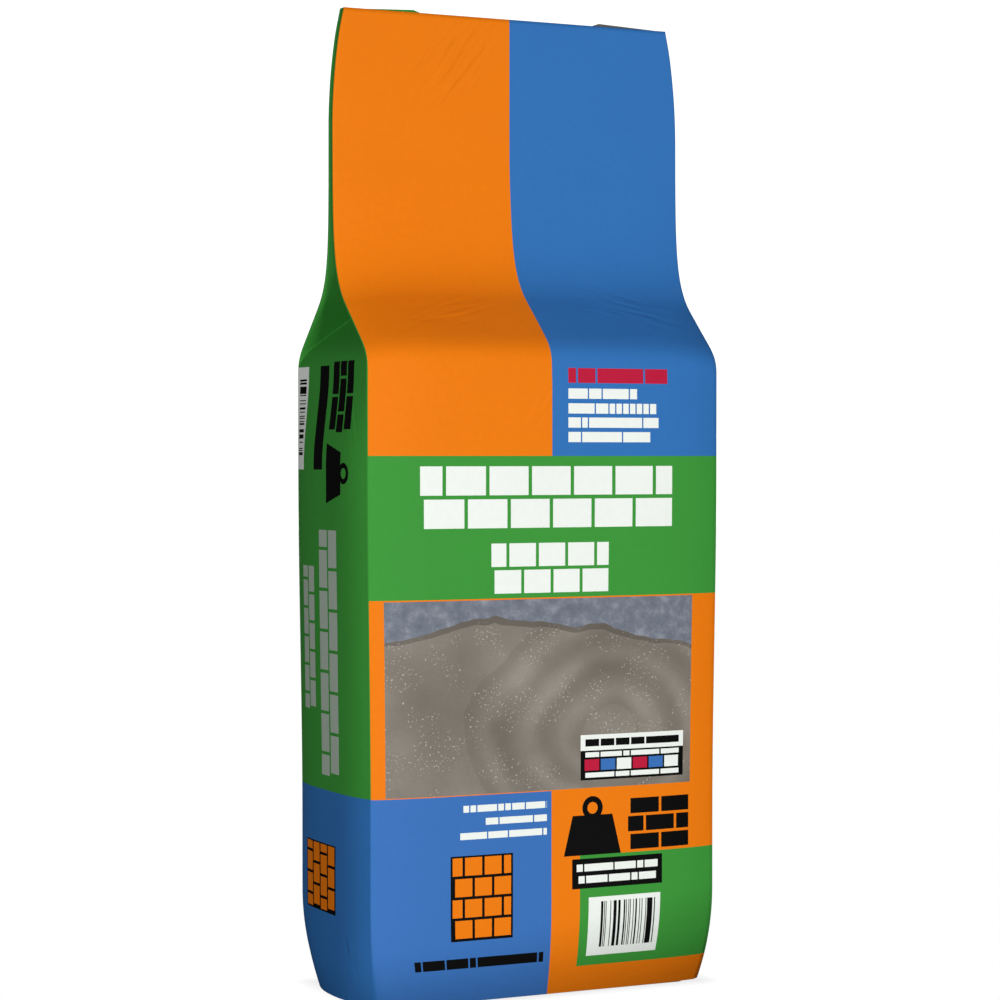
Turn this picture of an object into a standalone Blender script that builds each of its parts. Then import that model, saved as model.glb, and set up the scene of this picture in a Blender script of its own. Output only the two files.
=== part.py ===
"""A filled cement bag: an open-mouth paper sack with side gussets, and the cement in it.

Metres, +Z up. The origin is at the middle of the bag's footprint, on the surface that it
stands on. The wide front panel faces -Y. Heights are measured up from that surface.

The sack is one sheet of paper: a grid that is wrapped round the bag's cross-sections, glued
shut at the bottom and left open at the mouth. The body is full, so its panels swell between
their upright edges. In the shoulder the front and back panels lean together, and each side
gusset folds in between them.
"""

import math

import bmesh
import bpy

# The bag's main sizes: the front panel and the side gusset between the upright edges, and
# the height to the mouth
WIDTH = 0.222
DEPTH = 0.103
HEIGHT = 0.562

# The sack's wall, and the slit that is left between two plies that are pressed together
WALL = 0.0008
SLIT = 0.0006

# Where the body ends, and the shoulder: the middle of its lower bend and half the height of
# that bend, how much higher it lies in the middle of a panel, how far a panel leans in for each
# metre of height, and where it starts to settle
SHOULDER = 0.347
BEND_MIDDLE = 0.3635
BEND_HALF = 0.010
BEND_LIFT = 0.004
SHOULDER_LEAN = 1.08
SETTLE_START = 0.392

# How far the front panel comes in by the neck, and the neck's thickness from front to back
FRONT_CLOSING = 0.0494
NECK_AT_EDGE = 0.0069
NECK_AT_FOLD = 0.0044
NECK_AT_MIDDLE = 2 * WALL + SLIT

# Across the back panel, from the middle line: the edge of the part that is pressed flat, and
# the place where the folded gussets begin
PRESSED_HALF = 0.038
GUSSET_REACH = 0.051

# The columns of a panel between its middle line and its upright edge
ACROSS = (PRESSED_HALF, GUSSET_REACH, 0.070, 0.084, 0.0945)

# How far the full body's panels swell between their edges, and how the swelling is spread:
# a high power keeps the middle flat and turns the edges
PANEL_SWELL = 0.0055
PANEL_POWER = 6
SIDE_SWELL = 0.0045
SIDE_SHARE = 0.85
SWELL_AT_BASE = 0.7
SIDE_AT_BASE = 1.78
SHARE_AT_BASE = 0.71
SWELL_END = 0.475
SIDE_FADE = 0.047

# The vertical edges: their rounding on the body, and the folded edge of the neck
BODY_EDGE = 0.0014
NECK_EDGE = 0.0004
FOLD = 2 * WALL + SLIT

# The side gusset: where its flat triangle starts to lean in, half the height of that bend, its
# lean, how close its creases start to the edges, and the groove that it folds to
GUSSET_FOOT = 0.364
GUSSET_BEND = 0.008
GUSSET_LEAN = 1.03
GUSSET_START = 0.001
GUSSET_QUARTER = 0.022
GUSSET_GROOVE = 0.0004

# The body's lean: it is a little slimmer below than at the shoulder
FRONT_LEAN = 0.0008
BACK_LEAN = 0.0008
SIDE_LEAN = 0.002
LEAN_TOP = 0.300
LEAN_BOTTOM = 0.100

# The rounding of the bottom, as a height and how far each face draws in over it
BASE_ROUND = 0.055
BASE_FRONT = 0.0045
BASE_BACK = 0.008
BASE_SIDE = 0.006
BASE_FRONT_CORNER = 0.003
BASE_BACK_CORNER = 0.004

# The mouth's corners draw in over the top of the neck
MOUTH_DROP = 0.070
MOUTH_SIDE = 0.007

# The cement: its gap to the sack's outer face, and the low heap on top
FILL_INSET = 0.0020
FILL_FLOOR = 0.0016
HEAP_STEPS = ((0.86, 0.72, 0.007), (0.72, 0.50, 0.004))

# The heights of the cross-sections: three runs, closer together where the shape turns
BASE_LEVELS = (0.0, 0.003, 0.008, 0.016, 0.028, 0.042, 0.060, 0.100, 0.200, 0.300, 0.325, SHOULDER)
SHOULDER_STEP = 0.006
SHOULDER_STEPS = 13
NECK_LEVELS = (0.434, 0.448, 0.466, 0.490, 0.510, 0.524, 0.536, 0.546, 0.554, HEIGHT)

PAPER_COLOUR = (0.86, 0.33, 0.02, 1.0)
CEMENT_COLOUR = (0.36, 0.35, 0.33, 1.0)


def remove_everything():
    """Clear the scene's objects."""
    for item in list(bpy.data.objects):
        bpy.data.objects.remove(item, do_unlink=True)


def material(name, colour, roughness):
    """A plain surface with a colour and a roughness."""
    finish = bpy.data.materials.new(name)
    finish.use_nodes = True
    shader = finish.node_tree.nodes["Principled BSDF"]
    shader.inputs["Base Color"].default_value = colour
    shader.inputs["Roughness"].default_value = roughness
    shader.inputs["Metallic"].default_value = 0.0
    return finish


def share(value, start, end):
    """How far value has gone from start to end, held between 0 and 1."""
    return min(max((value - start) / (end - start), 0.0), 1.0)


def closing(height, total):
    """How far a panel has come in at a height: a bend, a straight lean and a slow settling."""
    start = height - BEND_MIDDLE + BEND_HALF
    if start <= 0.0:
        return 0.0
    if start < 2 * BEND_HALF:
        part = start / (2 * BEND_HALF)
        return SHOULDER_LEAN * 2 * BEND_HALF * (part ** 3 - part ** 4 / 2)
    if height < SETTLE_START:
        return SHOULDER_LEAN * (height - BEND_MIDDLE)
    run = total / SHOULDER_LEAN - (SETTLE_START - BEND_MIDDLE)
    return total - SHOULDER_LEAN * run * math.exp((SETTLE_START - height) / run)


def slope(height, total):
    """How far a panel comes in for each metre of height."""
    if height >= SETTLE_START:
        run = total / SHOULDER_LEAN - (SETTLE_START - BEND_MIDDLE)
        return SHOULDER_LEAN * math.exp((SETTLE_START - height) / run)
    part = share(height, BEND_MIDDLE - BEND_HALF, BEND_MIDDLE + BEND_HALF)
    return SHOULDER_LEAN * part * part * (3.0 - 2.0 * part)


def back_closing(across):
    """How far the back panel comes in by the neck, at a distance from the middle line."""
    if across <= GUSSET_REACH:
        pressed = share(across, PRESSED_HALF, GUSSET_REACH)
        thickness = NECK_AT_MIDDLE + (NECK_AT_FOLD - NECK_AT_MIDDLE) * pressed
    else:
        folded = share(across, GUSSET_REACH, WIDTH / 2)
        thickness = NECK_AT_FOLD + (NECK_AT_EDGE - NECK_AT_FOLD) * folded
    return DEPTH - FRONT_CLOSING - thickness


def base_round(height):
    """The bottom's rounding: 1 on the ground, 0 where the faces are straight."""
    return (1.0 - share(height, 0.0, BASE_ROUND)) ** 2


def lean(height):
    """The body's lean: 0 at its top, 1 low down."""
    return share(LEAN_TOP - height, 0.0, LEAN_TOP - LEAN_BOTTOM)


def bend_lift(across):
    """How much higher the shoulder lies at a distance from the middle line than at the side."""
    return BEND_LIFT * (1.0 - min(across / (WIDTH / 2), 1.0) ** PANEL_POWER)


def panel_swell(height, across):
    """How far the front or back panel stands out past its upright edges."""
    foot = 1.0 - (1.0 - SWELL_AT_BASE) * base_round(height)
    top = 1.0 - share(height, SHOULDER, SWELL_END)
    spread = 1.0 - min(across / half_width(height), 1.0) ** PANEL_POWER
    return PANEL_SWELL * foot * top * spread


def front_y(height, across):
    """The front panel's outer face."""
    drawn = FRONT_LEAN * lean(height) + BASE_FRONT * base_round(height)
    closed = closing(height - bend_lift(across), FRONT_CLOSING)
    return -DEPTH / 2 + drawn + closed - panel_swell(height, across)


def back_y(height, across):
    """The back panel's outer face."""
    drawn = BACK_LEAN * lean(height) + BASE_BACK * base_round(height)
    closed = closing(height - bend_lift(across), back_closing(across))
    return DEPTH / 2 - drawn - closed + panel_swell(height, across)


def half_width(height):
    """From the middle line to the bag's side."""
    mouth = share(height, HEIGHT - MOUTH_DROP, HEIGHT) ** 2
    drawn = SIDE_LEAN * lean(height) + BASE_SIDE * base_round(height)
    return WIDTH / 2 - drawn - MOUTH_SIDE * mouth


def full_side(height, front, back):
    """The gusset on the full body, as three points (inset from the side, y): it swells out.

    On the ground it swells more and rounder, because only its two edges draw in there.
    """
    fade = share(GUSSET_FOOT - GUSSET_BEND - height, 0.0, SIDE_FADE)
    swell = SIDE_SWELL * fade * (1.0 + (SIDE_AT_BASE - 1.0) * base_round(height))
    spread = SIDE_SHARE + (SHARE_AT_BASE - SIDE_SHARE) * base_round(height)
    reach = GUSSET_START + (GUSSET_QUARTER - GUSSET_START) * fade
    return (
        (-spread * swell, front + reach),
        (-swell, (front + back) / 2),
        (-spread * swell, back - reach),
    )


def folded_side(height, front, back):
    """The gusset above the body, as three points (inset from the side, y).

    A flat triangle leans in between the panels. The gusset's halves fold against the panels
    above its two creases, which meet in the neck.
    """
    spread = DEPTH - 2 * BODY_EDGE
    rise = height - GUSSET_FOOT
    inset = GUSSET_LEAN * max(rise, (rise + GUSSET_BEND) ** 2 / (4 * GUSSET_BEND))
    if rise >= GUSSET_BEND:
        inset = min(GUSSET_LEAN * rise, (spread - GUSSET_GROOVE) / 2)
    span = back - front
    triangle = max(spread - 2 * GUSSET_LEAN * max(rise, 0.0), GUSSET_GROOVE)
    floor = min(span - 2 * GUSSET_START, triangle)
    closed = closing(height, FRONT_CLOSING) / FRONT_CLOSING
    pressed_middle = front_y(height, WIDTH / 2) + NECK_AT_FOLD / 2
    middle = (front + back) / 2
    middle += (pressed_middle - middle) * closed ** 4 * (1.0 - floor / span)
    return (inset, middle - floor / 2), (inset, middle), (inset, middle + floor / 2)


def section(height):
    """The outline of the sack at a height, as (x, y), once round from the front's middle."""
    side = half_width(height)
    closed = closing(height, FRONT_CLOSING) / FRONT_CLOSING
    edge = BODY_EDGE + (NECK_EDGE - BODY_EDGE) * closed
    fold = BODY_EDGE + (FOLD - BODY_EDGE) * closed
    front_cut = BASE_FRONT_CORNER * base_round(height)
    back_cut = BASE_BACK_CORNER * base_round(height)
    front = front_y(height, side)
    back = back_y(height, side)
    front_corner = front + front_cut + fold * math.hypot(1.0, slope(height, FRONT_CLOSING))
    back_corner = back - back_cut - fold * math.hypot(1.0, slope(height, back_closing(side)))
    gusset = full_side if height <= GUSSET_FOOT - GUSSET_BEND else folded_side

    right = [(across, front_y(height, across)) for across in ACROSS]
    right += [(side - edge - front_cut, front), (side, front_corner)]
    right += [(side - inset, y) for inset, y in gusset(height, front_corner, back_corner)]
    right += [(side, back_corner), (side - edge - back_cut, back)]
    right += [(across, back_y(height, across)) for across in reversed(ACROSS)]
    left = [(-across, y) for across, y in reversed(right)]
    return [(0.0, front_y(height, 0.0))] + right + [(0.0, back_y(height, 0.0))] + left


def shoulder_levels():
    """The heights of the cross-sections in the shoulder."""
    return tuple(SHOULDER + SHOULDER_STEP * (index + 1) for index in range(SHOULDER_STEPS))


def wrapped_sheet(outlines):
    """A grid wrapped round a list of (height, outline), its seam welded and its bottom closed."""
    columns = len(outlines[0][1])
    rows = len(outlines) - 1
    sheet = bmesh.new()
    bmesh.ops.create_grid(sheet, x_segments=columns, y_segments=rows, size=0.5)
    for vert in sheet.verts:
        column = round((vert.co.x + 0.5) * columns) % columns
        height, outline = outlines[round((vert.co.y + 0.5) * rows)]
        vert.co = (*outline[column], height)
    bmesh.ops.remove_doubles(sheet, verts=sheet.verts, dist=1e-6)
    lowest = outlines[0][0]
    rim = [edge for edge in sheet.edges if edge.is_boundary and edge.verts[0].co.z < lowest + 1e-6]
    bmesh.ops.contextual_create(sheet, geom=rim)
    bmesh.ops.recalc_face_normals(sheet, faces=sheet.faces)
    return sheet


def named_object(name, sheet, finish):
    """Turn a bmesh into an object with one material."""
    mesh = bpy.data.meshes.new(name)
    sheet.to_mesh(mesh)
    sheet.free()
    mesh.materials.append(finish)
    item = bpy.data.objects.new(name, mesh)
    bpy.context.scene.collection.objects.link(item)
    return item


def make_sack():
    """The paper sack: the wrapped sheet, given its wall inwards."""
    levels = BASE_LEVELS + shoulder_levels() + NECK_LEVELS
    sheet = wrapped_sheet([(height, section(height)) for height in levels])
    sack = named_object("paper_sack", sheet, material("printed_paper", PAPER_COLOUR, 0.45))
    wall = sack.modifiers.new("wall", "SOLIDIFY")
    wall.thickness = WALL
    wall.offset = -1.0
    wall.use_even_offset = True
    wall.use_quality_normals = True
    return sack


def drawn_in(value):
    """Move one coordinate of an outline towards the middle by the fill's gap."""
    return math.copysign(max(abs(value) - FILL_INSET, 0.0), value)


def make_cement():
    """The cement: it fills the body to the shoulder and ends in a low heap."""
    outlines = []
    for height in BASE_LEVELS:
        outline = [(drawn_in(x), drawn_in(y)) for x, y in section(height)]
        outlines.append((max(height, FILL_FLOOR), outline))
    outlines.pop(1)
    fill = wrapped_sheet(outlines)
    rim = [edge for edge in fill.edges if edge.is_boundary]
    top = bmesh.ops.contextual_create(fill, geom=rim)["faces"]
    for along, deep, rise in HEAP_STEPS:
        raised = bmesh.ops.extrude_discrete_faces(fill, faces=top)
        top = raised["faces"]
        verts = list(top[0].verts)
        bmesh.ops.scale(fill, vec=(along, deep, 1.0), verts=verts)
        bmesh.ops.translate(fill, vec=(0.0, 0.0, rise), verts=verts)
    bmesh.ops.recalc_face_normals(fill, faces=fill.faces)
    return named_object("cement", fill, material("cement_powder", CEMENT_COLOUR, 0.95))


def main():
    """Build the bag."""
    remove_everything()
    make_sack()
    make_cement()


main()
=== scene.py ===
"""The looks of a filled cement bag: its printed paper skin, glued seam and flaps, in a studio.

Metres, +Z up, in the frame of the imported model. The wide front panel faces -Y. The skin is one
sheet of paper, wrapped round the bag's cross-sections, and the print is laid out on the flat
paper: U runs round the bag from the front panel's left edge, and V runs up the paper.
"""

import logging
import math
from collections.abc import Callable, Iterator
from dataclasses import dataclass
from enum import Enum
from functools import reduce

import bmesh
import bpy
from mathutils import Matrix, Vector, noise


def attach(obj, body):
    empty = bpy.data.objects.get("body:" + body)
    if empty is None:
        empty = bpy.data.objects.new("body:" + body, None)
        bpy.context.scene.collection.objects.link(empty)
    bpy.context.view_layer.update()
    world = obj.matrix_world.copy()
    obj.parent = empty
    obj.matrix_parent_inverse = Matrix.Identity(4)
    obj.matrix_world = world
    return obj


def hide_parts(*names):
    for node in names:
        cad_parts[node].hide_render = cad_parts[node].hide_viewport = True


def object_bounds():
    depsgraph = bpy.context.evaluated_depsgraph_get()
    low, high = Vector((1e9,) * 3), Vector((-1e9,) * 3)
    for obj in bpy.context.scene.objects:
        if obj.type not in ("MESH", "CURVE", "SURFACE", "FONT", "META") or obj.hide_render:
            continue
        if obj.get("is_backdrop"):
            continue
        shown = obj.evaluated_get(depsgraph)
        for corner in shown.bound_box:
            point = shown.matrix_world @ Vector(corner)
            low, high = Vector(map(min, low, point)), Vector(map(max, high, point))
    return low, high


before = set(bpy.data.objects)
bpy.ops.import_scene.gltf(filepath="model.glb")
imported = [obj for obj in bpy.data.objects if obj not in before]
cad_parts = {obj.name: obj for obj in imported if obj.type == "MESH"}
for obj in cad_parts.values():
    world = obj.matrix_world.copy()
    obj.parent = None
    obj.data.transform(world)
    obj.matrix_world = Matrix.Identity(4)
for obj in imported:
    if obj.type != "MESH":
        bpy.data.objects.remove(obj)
CAD_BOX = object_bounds()

TAU = 2.0 * math.pi

# Added to U, so that it is nowhere negative
PAPER_SHIFT = 0.220

# Corners closer than this are one corner
WELD = 1e-7

# No ink sends back more than this share of the light
BRIGHTEST = 0.95

log = logging.getLogger("cement_bag")


class Side(Enum):
    """The panels of the sack, in their order along the paper."""

    FRONT = 0
    RIGHT = 1
    BACK = 2
    LEFT = 3


def share(value: float, start: float, end: float) -> float:
    """How far value has gone from start to end, held between 0 and 1."""
    return min(max((value - start) / (end - start), 0.0), 1.0)


def eased(value: float, start: float, end: float) -> float:
    """How far value has gone from start to end, with a soft start and a soft end."""
    part = share(value, start, end)
    return part * part * (3.0 - 2.0 * part)


# Shape


@dataclass(frozen=True)
class Station:
    """One point of a cross-section: its place across the bag and on the paper."""

    x: float
    y: float
    along: float


@dataclass(frozen=True)
class SackShape:
    """The outer surface of the filled sack, as cross-sections at a height."""

    # Between the upright edges, to the mouth, and the lowest cross-section
    width: float = 0.222
    depth: float = 0.103
    height: float = 0.562
    foot: float = 0.0011

    # The shoulder: where the body ends, its lower bend, its lean and where that settles
    shoulder: float = 0.347
    bend_middle: float = 0.3635
    bend_half: float = 0.010
    bend_lift: float = 0.004
    shoulder_lean: float = 1.08
    settle_start: float = 0.392

    # The neck: how far the front comes in, and the thickness of the pressed plies
    front_closing: float = 0.0494
    neck_at_edge: float = 0.0069
    neck_at_fold: float = 0.0044
    neck_at_middle: float = 0.0022
    pressed_half: float = 0.036
    gusset_reach: float = 0.051

    # How far the panels and the sides swell between the edges; a high power keeps the middle flat
    panel_swell: float = 0.0055
    panel_power: float = 6.0
    swell_at_base: float = 0.7
    swell_end: float = 0.475
    side_swell: float = 0.0045
    side_power: float = 3.4
    side_at_base: float = 1.78
    side_power_at_base: float = 2.2
    side_fade: float = 0.055

    # The rounding of the upright edges, on the body and in the neck
    body_edge: float = 0.0014
    neck_edge: float = 0.0004
    fold: float = 0.0022

    # The side gusset: its leaning triangle, its creases and the groove that it folds to
    gusset_foot: float = 0.364
    gusset_bend: float = 0.008
    gusset_lean: float = 1.03
    gusset_start: float = 0.001
    gusset_quarter: float = 0.022
    gusset_groove: float = 0.0005
    crease_half: float = 0.0008
    crease_share: float = 0.3
    crease_room: float = 1.5
    pressing_power: int = 4
    paper_squeeze: float = 0.028

    # The body's lean: slimmer low down than at its top
    front_lean: float = 0.0008
    back_lean: float = 0.0008
    side_lean: float = 0.002
    lean_top: float = 0.300
    lean_bottom: float = 0.100

    # The rounding of the bottom, as a height and how far the faces and corners draw in
    base_round: float = 0.055
    base_front: float = 0.0045
    base_back: float = 0.008
    base_side: float = 0.006
    base_front_corner: float = 0.003
    base_back_corner: float = 0.004
    corner_flatness: float = 0.65

    # The mouth: its corners draw in, and the gusset plies stand up past the panels' cut edge
    mouth_drop: float = 0.070
    mouth_side: float = 0.007
    cut_low: float = 0.0020
    ply_rise: float = 0.0021
    ply_run: float = 0.020

    # The waviness of the full paper, and how it dies out at edges, shoulder and neck
    waviness: float = 0.00018
    waves_across: float = 26.0
    waves_up: float = 19.0
    still_edge: float = 0.012
    still_shoulder: float = 0.030
    still_back: float = 0.080
    still_mouth: float = 0.7
    still_neck: float = 0.8

    # The mesh: its columns, how they crowd towards the edges, and its rows up to each height
    front_columns: int = 36
    back_columns: int = 26
    gusset_columns: int = 9
    corner_columns: int = 4
    crowding: float = 0.36
    paper_steps: int = 32
    level_runs: tuple[tuple[float, int], ...] = (
        (0.060, 28),
        (0.335, 60),
        (0.400, 36),
        (0.475, 28),
        (0.562, 33),
    )

    def closing(self, height: float, total: float) -> float:
        """How far a panel has come in: a bend, a straight lean and a slow settling.

        Args:
            height: The height.
            total: How far the panel comes in by the neck.

        Returns:
            How far it has come in at that height.
        """
        start = height - self.bend_middle + self.bend_half
        if start <= 0.0:
            return 0.0
        if start < 2 * self.bend_half:
            part = start / (2 * self.bend_half)
            return self.shoulder_lean * 2 * self.bend_half * (part**3 - part**4 / 2)
        if height < self.settle_start:
            return self.shoulder_lean * (height - self.bend_middle)
        run = total / self.shoulder_lean - (self.settle_start - self.bend_middle)
        return total - self.shoulder_lean * run * math.exp((self.settle_start - height) / run)

    def slope(self, height: float, total: float) -> float:
        """How far a panel comes in for each metre of height.

        Args:
            height: The height.
            total: How far the panel comes in by the neck.

        Returns:
            The slope at that height.
        """
        if height >= self.settle_start:
            run = total / self.shoulder_lean - (self.settle_start - self.bend_middle)
            return self.shoulder_lean * math.exp((self.settle_start - height) / run)
        bend = (self.bend_middle - self.bend_half, self.bend_middle + self.bend_half)
        return self.shoulder_lean * eased(height, *bend)

    def back_closing(self, across: float) -> float:
        """How far the back panel comes in by the neck.

        Args:
            across: The distance from the middle line.

        Returns:
            How far it comes in there.
        """
        pressed = eased(across, self.pressed_half, self.gusset_reach)
        folded = share(across, self.gusset_reach, self.width / 2)
        thickness = self.neck_at_middle
        thickness += (self.neck_at_fold - self.neck_at_middle) * pressed
        thickness += (self.neck_at_edge - self.neck_at_fold) * folded
        return self.depth - self.front_closing - thickness

    def rounding(self, height: float) -> float:
        """The bottom's rounding: 1 on the ground, 0 where the faces are straight."""
        return (1.0 - share(height, 0.0, self.base_round)) ** 2

    def lean(self, height: float) -> float:
        """The body's lean: 0 at its top, 1 low down."""
        return eased(self.lean_top - height, 0.0, self.lean_top - self.lean_bottom)

    def half_width(self, height: float) -> float:
        """From the middle line to the bag's side.

        Args:
            height: The height.

        Returns:
            The distance.
        """
        mouth = share(height, self.height - self.mouth_drop, self.height) ** 2
        drawn = self.side_lean * self.lean(height) + self.base_side * self.rounding(height)
        return self.width / 2 - drawn - self.mouth_side * mouth

    def lifted(self, height: float, across: float) -> float:
        """The height at the bag's side where the shoulder is as it is here."""
        part = min(across / (self.width / 2), 1.0)
        return height - self.bend_lift * (1.0 - part**self.panel_power)

    def swell(self, height: float, across: float) -> float:
        """How far the front or back panel stands out past its upright edges.

        Args:
            height: The height.
            across: The distance from the middle line.

        Returns:
            How far it stands out there.
        """
        foot = 1.0 - (1.0 - self.swell_at_base) * self.rounding(height)
        top = 1.0 - share(height, self.shoulder, self.swell_end)
        spread = 1.0 - min(across / self.half_width(height), 1.0) ** self.panel_power
        return self.panel_swell * foot * top * spread

    def front_y(self, height: float, across: float) -> float:
        """The front panel's outer face.

        Args:
            height: The height.
            across: The distance from the middle line.

        Returns:
            Its Y.
        """
        drawn = self.front_lean * self.lean(height) + self.base_front * self.rounding(height)
        closed = self.closing(self.lifted(height, across), self.front_closing)
        return -self.depth / 2 + drawn + closed - self.swell(height, across)

    def back_y(self, height: float, across: float) -> float:
        """The back panel's outer face.

        Args:
            height: The height.
            across: The distance from the middle line.

        Returns:
            Its Y.
        """
        drawn = self.back_lean * self.lean(height) + self.base_back * self.rounding(height)
        closed = self.closing(self.lifted(height, across), self.back_closing(across))
        return self.depth / 2 - drawn - closed + self.swell(height, across)

    def paper_height(self, height: float) -> float:
        """V of a cross-section: the length of paper from the ground up to it.

        Args:
            height: The height of the cross-section.

        Returns:
            V.
        """
        if height <= self.shoulder:
            return height
        step = (height - self.shoulder) / self.paper_steps
        middles = (self.shoulder + step * (index + 0.5) for index in range(self.paper_steps))
        slopes = (self.slope(middle, self.front_closing) for middle in middles)
        return self.shoulder + sum(step * math.hypot(1.0, value) for value in slopes)

    def gusset_fractions(self, reach: float, half: float) -> list[float]:
        """Distances from a gusset's edge to its middle, with one column on the crease.

        Args:
            reach: The distance from the edge to the crease.
            half: The distance from the edge to the middle.

        Returns:
            The distances, without the edge and with the middle.
        """
        widest = self.crease_share * min(reach, half - reach)
        beside = min(self.crease_half, widest)
        clear = self.crease_room * beside
        steps = self.gusset_columns
        outer = [reach * step / steps for step in range(1, steps)]
        outer = [min(value, reach - clear) for value in outer]
        inner = [reach + (half - reach) * step / steps for step in range(1, steps)]
        inner = [max(value, reach + clear) for value in inner]
        return [*outer, reach - beside, reach, reach + beside, *inner, half]

    def gusset(self, height: float, front: float, back: float) -> list[Station]:
        """One gusset's points from its front edge to its back edge.

        Args:
            height: The height of the cross-section.
            front: Y of the gusset's front edge.
            back: Y of its back edge.

        Returns:
            Stations with x as the distance in from the side, and along from the front edge.
        """
        spread = self.depth - 2 * self.body_edge
        half = spread / 2
        rise = height - self.gusset_foot
        fade = eased(-rise - self.gusset_bend, 0.0, self.side_fade)
        round_off = self.rounding(height)
        swell = self.side_swell * fade * (1.0 + (self.side_at_base - 1.0) * round_off)
        power = self.side_power + (self.side_power_at_base - self.side_power) * round_off
        full = rise <= -self.gusset_bend
        triangle = spread - 2 * self.gusset_lean * max(rise, 0.0)
        floor = max(min(back - front - 2 * self.gusset_start, triangle), self.gusset_groove)
        middle = (front + back) / 2
        inset = 0.0
        if not full:
            closed = self.closing(height, self.front_closing) / self.front_closing
            pressed = self.front_y(height, self.width / 2) + self.neck_at_fold / 2
            moved = (pressed - middle) * closed**self.pressing_power
            middle += moved * (1.0 - floor / (back - front))
            inset = (rise + self.gusset_bend) ** 2 / (4 * self.gusset_bend)
            inset = self.gusset_lean * (rise if rise > self.gusset_bend else inset)
            inset = min(inset, half - self.gusset_groove / 2)
        crease = middle - floor / 2
        reach = self.gusset_start + (self.gusset_quarter - self.gusset_start) * fade
        if not full:
            reach = min(math.hypot(inset, crease - front), half - self.gusset_groove / 2)
        squeezed = 1.0 - eased(height, self.shoulder, self.shoulder + self.paper_squeeze)
        scale = 1.0 + (spread / (back - front) - 1.0) * squeezed
        creased = max(half - floor / 2 * scale, 0.0)
        points = []
        for distance in self.gusset_fractions(reach, half):
            if full:
                part = distance / spread
                x = -swell * (1.0 - abs(2 * part - 1) ** power)
                points.append((x, part * (back - front), part * (front - back), distance))
            elif distance <= reach:
                part = distance / reach
                behind = (middle + floor / 2 - back) * part
                points.append((inset * part, (crease - front) * part, behind, creased * part))
            else:
                part = (distance - reach) / (half - reach)
                ahead = crease - front + (middle - crease) * part
                behind = middle + floor / 2 * (1.0 - part) - back
                points.append((inset, ahead, behind, creased + (half - creased) * part))
        edge = self.depth - self.body_edge
        near = [Station(x, front + ahead, self.body_edge + run) for x, ahead, _, run in points]
        far = [Station(x, back + behind, edge - run) for x, _, behind, run in points]
        return near + far[-2::-1]

    def corner(self, height: float, face: float, cut: float, deep: float) -> list[Station]:
        """The rounded edge between a wide panel and a gusset.

        Args:
            height: The height of the cross-section.
            face: Y of the wide panel.
            cut: How far the rounding reaches along the wide panel.
            deep: How far it reaches along the gusset; negative towards -Y.

        Returns:
            Stations from the wide panel to the gusset, with x from the middle line.
        """
        side = self.half_width(height)
        plump = 1.0 - self.corner_flatness * self.rounding(height)
        stations = []
        for step in range(self.corner_columns + 1):
            chord = step / self.corner_columns
            angle = math.pi / 2 * chord
            out = chord + (math.sin(angle) - chord) * plump
            down = chord + (1.0 - math.cos(angle) - chord) * plump
            along = self.body_edge * (2.0 * chord - 1.0)
            stations.append(Station(side - cut + cut * out, face + deep * down, along))
        return stations

    def crowded(self, part: float) -> float:
        """A column's place from a panel's middle to its edge: columns crowd towards the edge."""
        return part * (1.0 + self.crowding - self.crowding * part * part)

    def outline(self, height: float) -> list[Station]:
        """The cross-section at a height, once round from the middle of the back.

        Args:
            height: The height above the ground.

        Returns:
            Stations in the order of the paper: left of the back, left gusset, front, right
            gusset, right of the back.
        """
        side = self.half_width(height)
        round_off = self.rounding(height)
        closed = self.closing(height, self.front_closing) / self.front_closing
        edge = self.body_edge + (self.neck_edge - self.body_edge) * closed
        fold = self.body_edge + (self.fold - self.body_edge) * closed
        front = self.front_y(height, side)
        back = self.back_y(height, side)
        front_cut = self.base_front_corner * round_off
        back_cut = self.base_back_corner * round_off
        front_deep = front_cut + fold * math.hypot(1.0, self.slope(height, self.front_closing))
        back_slope = self.slope(height, self.back_closing(side))
        back_deep = back_cut + fold * math.hypot(1.0, back_slope)

        reach = side - edge - front_cut
        scale = (self.width / 2 - self.body_edge) / reach
        face = []
        for step in range(-self.front_columns + 1, self.front_columns):
            x = reach * self.crowded(step / self.front_columns)
            face.append(Station(x, self.front_y(height, abs(x)), self.width / 2 + x * scale))
        front_corner = self.corner(height, front, edge + front_cut, front_deep)
        back_corner = self.corner(height, back, edge + back_cut, -back_deep)
        gusset = self.gusset(height, front_corner[-1].y, back_corner[-1].y)
        reach = side - edge - back_cut
        scale = (self.width / 2 - self.body_edge) / reach
        rear = []
        for step in range(self.back_columns):
            x = reach * self.crowded(step / self.back_columns)
            rear.append((x, self.back_y(height, x), self.width / 2 - x * scale))

        around = [Station(-x, y, -self.depth - along) for x, y, along in rear]
        around += [Station(-s.x, s.y, s.along - self.depth) for s in back_corner]
        around += [Station(-side + s.x, s.y, -s.along) for s in reversed(gusset)]
        around += [Station(-s.x, s.y, -s.along) for s in reversed(front_corner)]
        around += face
        around += [Station(s.x, s.y, self.width + s.along) for s in front_corner]
        around += [Station(side - s.x, s.y, self.width + s.along) for s in gusset]
        far_edge = self.width + self.depth
        around += [Station(s.x, s.y, far_edge - s.along) for s in reversed(back_corner)]
        around += [Station(x, y, far_edge + along) for x, y, along in reversed(rear)]
        return around

    def levels(self) -> list[float]:
        """The heights of the cross-sections, closer together where the shape turns.

        Returns:
            The heights, from the ground up.
        """
        heights = [self.foot]
        start = self.foot
        for end, steps in self.level_runs:
            heights += [start + (end - start) * step / steps for step in range(1, steps + 1)]
            start = end
        return heights

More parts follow.
